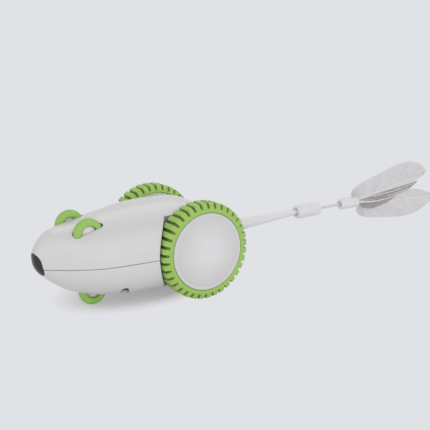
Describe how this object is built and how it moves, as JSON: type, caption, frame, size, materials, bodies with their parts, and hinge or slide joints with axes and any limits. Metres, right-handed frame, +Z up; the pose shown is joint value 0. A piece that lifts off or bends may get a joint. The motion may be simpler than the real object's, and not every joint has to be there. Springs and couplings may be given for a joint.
{
  "type": "automatic feather cat toy",
  "caption": "Mouse-shaped rolling cat toy with large lugged drive wheels, small ear wheels, a nose roller and a pull-off feathered tail.",
  "frame": {"origin": "on the floor, midway across the toy and midway between its nose and the tip of its longest feather", "axes": "+X is the toy's left side, -Y its nose, +Y its tail and feathers, +Z up"},
  "size_m": [0.098, 0.4074, 0.074],
  "materials": {
    "body_white": "satin white moulded plastic",
    "lens_dark": "dark brown infrared window, polished",
    "green_rubber": "soft matt green rubber",
    "rim_white": "plain white plastic",
    "cap_silver": "silver grey satin disc",
    "steel": "bright steel",
    "bush_brass": "turned brass",
    "gear_cream": "natural acetal",
    "board_green": "green solder mask",
    "battery_case": "plain blue sleeve",
    "diode_clear": "clear epoxy",
    "black_plastic": "black moulded plastic",
    "tail_grey": "light grey soft plastic",
    "feather": "grey-white feather"
  },
  "bodies": {
    "toy_body": {"upper_shell": "body_white", "lower_shell": "body_white", "nose_lens": "lens_dark", "battery_1": "battery_case", "battery_2": "battery_case", "battery_3": "battery_case", "front_contact_plate": "steel", "rear_contact_plate": "steel", "circuit_board": "board_green", "ir_emitter": "diode_clear", "ir_receiver": "black_plastic", "switch_body": "black_plastic", "left_axle_bush": "bush_brass", "right_axle_bush": "bush_brass", "left_gearbox_base": "rim_white", "right_gearbox_base": "rim_white", "left_gearbox_cover": "rim_white", "right_gearbox_cover": "rim_white", "left_motor": "steel", "right_motor": "steel", "idler_shaft": "steel", "roller_axle": "steel", "ear_axle": "steel", "front_left_screw": "steel", "front_right_screw": "steel", "rear_left_screw": "steel", "rear_right_screw": "steel", "tail_stalk": "tail_grey"},
    "left_wheel": {"left_tyre": "green_rubber", "left_rim": "rim_white", "left_hub_cap": "cap_silver", "left_axle": "steel", "left_wheel_screw": "steel", "left_wheel_gear": "gear_cream"},
    "right_wheel": {"right_tyre": "green_rubber", "right_rim": "rim_white", "right_hub_cap": "cap_silver", "right_axle": "steel", "right_wheel_screw": "steel", "right_wheel_gear": "gear_cream"},
    "left_idler": {"left_idler_gear": "gear_cream"},
    "right_idler": {"right_idler_gear": "gear_cream"},
    "left_drive": {"left_pinion": "bush_brass"},
    "right_drive": {"right_pinion": "bush_brass"},
    "roller": {"roller_tyre": "green_rubber", "roller_hub": "rim_white"},
    "left_ear": {"left_ear_tyre": "green_rubber", "left_ear_hub": "rim_white"},
    "right_ear": {"right_ear_tyre": "green_rubber", "right_ear_hub": "rim_white"},
    "door": {"battery_door": "body_white", "door_screw": "steel"},
    "power_knob": {"switch_knob": "black_plastic"},
    "tail_end": {"tail_sleeve": "tail_grey", "tail_wire": "steel", "feather_ferrule": "tail_grey", "feather_upper": "feather", "feather_lower": "feather", "feather_near": "feather", "feather_far": "feather"}
  },
  "joints": [
    {"name": "left_wheel_spin", "type": "hinge", "parent": "toy_body", "child": "left_wheel", "pos_m": [0.0391, -0.08435, 0.037], "axis": [1, 0, 0], "continuous": true},
    {"name": "right_wheel_spin", "type": "hinge", "parent": "toy_body", "child": "right_wheel", "pos_m": [-0.0391, -0.08435, 0.037], "axis": [1, 0, 0], "continuous": true},
    {"name": "left_idler_spin", "type": "hinge", "parent": "toy_body", "child": "left_idler", "pos_m": [0.0213, -0.09873, 0.04126], "axis": [1, 0, 0], "continuous": true},
    {"name": "right_idler_spin", "type": "hinge", "parent": "toy_body", "child": "right_idler", "pos_m": [-0.0213, -0.09873, 0.04126], "axis": [1, 0, 0], "continuous": true},
    {"name": "left_drive_spin", "type": "hinge", "parent": "toy_body", "child": "left_drive", "pos_m": [0.0194, -0.1135, 0.03866], "axis": [1, 0, 0], "continuous": true},
    {"name": "right_drive_spin", "type": "hinge", "parent": "toy_body", "child": "right_drive", "pos_m": [-0.0194, -0.1135, 0.03866], "axis": [1, 0, 0], "continuous": true},
    {"name": "roller_spin", "type": "hinge", "parent": "toy_body", "child": "roller", "pos_m": [0, -0.15832, 0.0116], "axis": [1, 0, 0], "continuous": true},
    {"name": "left_ear_spin", "type": "hinge", "parent": "toy_body", "child": "left_ear", "pos_m": [0.016, -0.16595, 0.0599], "axis": [1, 0, 0], "continuous": true},
    {"name": "right_ear_spin", "type": "hinge", "parent": "toy_body", "child": "right_ear", "pos_m": [-0.016, -0.16595, 0.0599], "axis": [1, 0, 0], "continuous": true},
    {"name": "door_lift", "type": "slide", "parent": "toy_body", "child": "door", "axis": [0, 0, -1], "range_m": [0, 0.02]},
    {"name": "switch_slide", "type": "slide", "parent": "toy_body", "child": "power_knob", "axis": [0, 1, 0], "range_m": [0, 0.003]},
    {"name": "tail_pull", "type": "slide", "parent": "toy_body", "child": "tail_end", "axis": [0, 0.9995, -0.0332], "range_m": [0, 0.02]}
  ],
  "couplings": [
    {"joint": "left_idler_spin", "follows": "left_wheel_spin", "ratio": -2.75},
    {"joint": "left_drive_spin", "follows": "left_wheel_spin", "ratio": 7.5625},
    {"joint": "right_idler_spin", "follows": "right_wheel_spin", "ratio": -2.75},
    {"joint": "right_drive_spin", "follows": "right_wheel_spin", "ratio": 7.5625}
  ]
}
